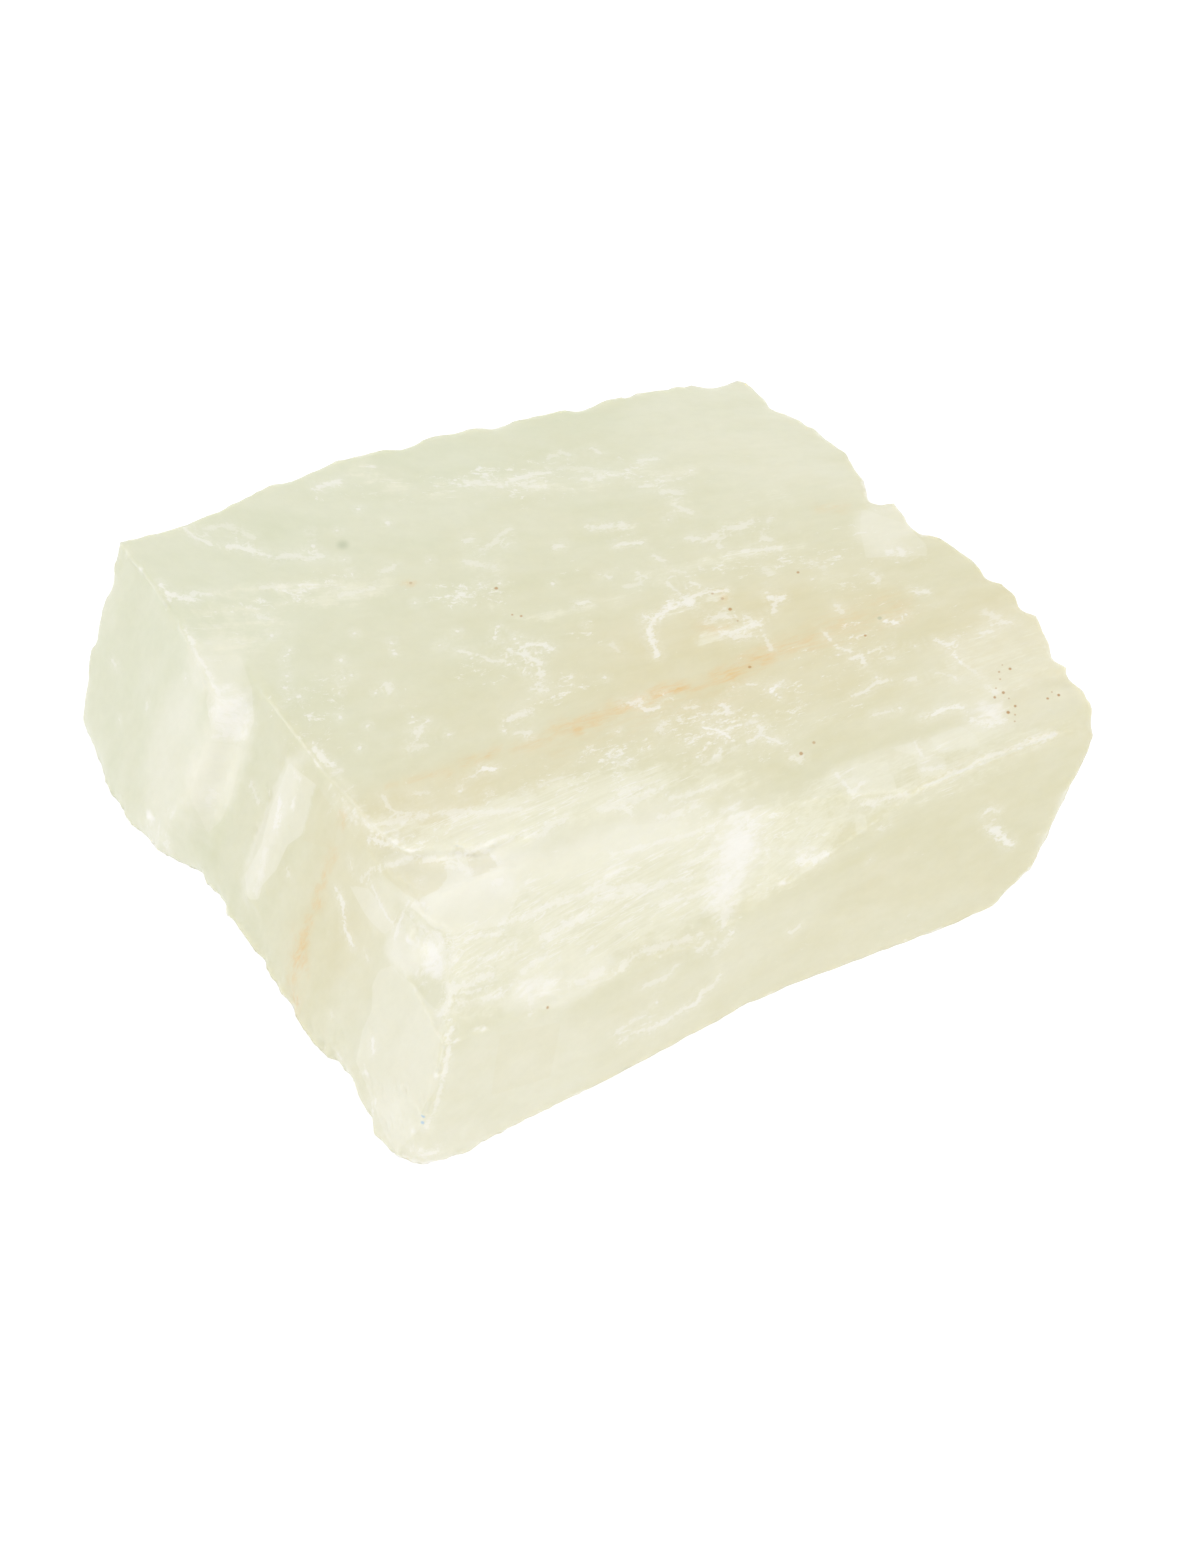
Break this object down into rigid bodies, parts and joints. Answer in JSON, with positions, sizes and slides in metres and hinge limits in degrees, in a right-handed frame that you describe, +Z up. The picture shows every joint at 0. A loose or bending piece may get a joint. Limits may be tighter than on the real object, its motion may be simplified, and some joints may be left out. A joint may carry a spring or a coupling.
{
  "type": "calcite crystal",
  "caption": "Low leaning block of translucent milky calcite, green at its back and honey at its front, with cleavage steps, a striped front bevel and a chipped right end.",
  "frame": {"origin": "on the flat base, at the middle of the crystal's outline in plan", "axes": "+X along the long edge, towards the chipped right end; +Y from the striped front bevel to the back; +Z up, from the base to the top face"},
  "size_m": [0.1152, 0.0908, 0.03],
  "materials": {
    "calcite": "satin"
  },
  "bodies": {
    "root": {"calcite_crystal": "calcite"}
  },
  "joints": []
}
